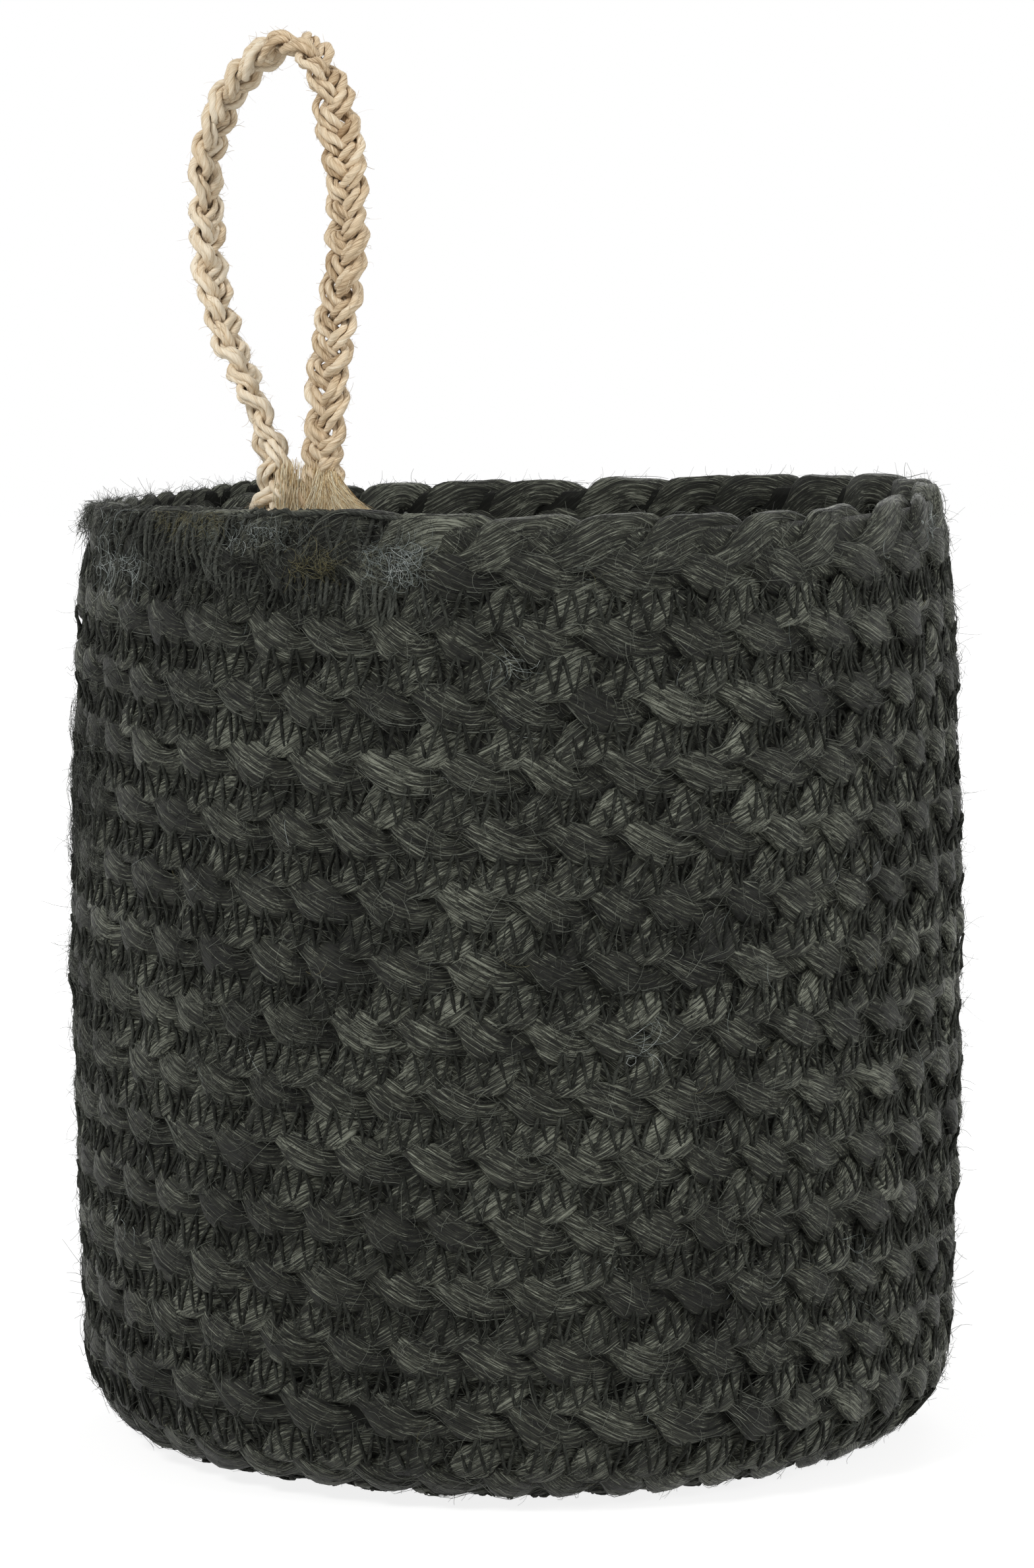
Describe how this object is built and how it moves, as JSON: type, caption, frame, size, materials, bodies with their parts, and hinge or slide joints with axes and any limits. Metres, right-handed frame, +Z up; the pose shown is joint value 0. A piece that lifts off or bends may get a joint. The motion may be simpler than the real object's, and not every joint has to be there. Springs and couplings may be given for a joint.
{
  "type": "jute basket",
  "caption": "Round open basket wound from a flat plait, with a plaited hanging loop that folds at the rim.",
  "frame": {"origin": "middle of the basket's underside, on the surface that it stands on", "axes": "+Z up along the basket's axis; -Y is the front, and the loop stands 34 degrees to the left of it"},
  "size_m": [0.1504, 0.1504, 0.2346],
  "materials": {
    "black_jute": "dyed jute fibre, plaited, with a soft sheen",
    "black_thread": "matt twisted thread",
    "natural_jute": "undyed two-ply jute twine, plaited"
  },
  "bodies": {
    "basket": {"base_coil": "black_jute", "corner_coil": "black_jute", "lower_wall_coil": "black_jute", "upper_wall_coil": "black_jute", "base_seam_thread": "black_thread", "wall_seam_thread": "black_thread", "rim_binding_thread": "black_thread", "loop_foot": "natural_jute", "loop_foot_thread": "black_thread"},
    "loop": {"loop_bow": "natural_jute"}
  },
  "joints": [
    {"name": "loop_fold", "type": "hinge", "parent": "basket", "child": "loop", "pos_m": [-0.03482, -0.05066, 0.16132], "axis": [0.8241, -0.5664, 0], "range_deg": [-140, 85]}
  ]
}
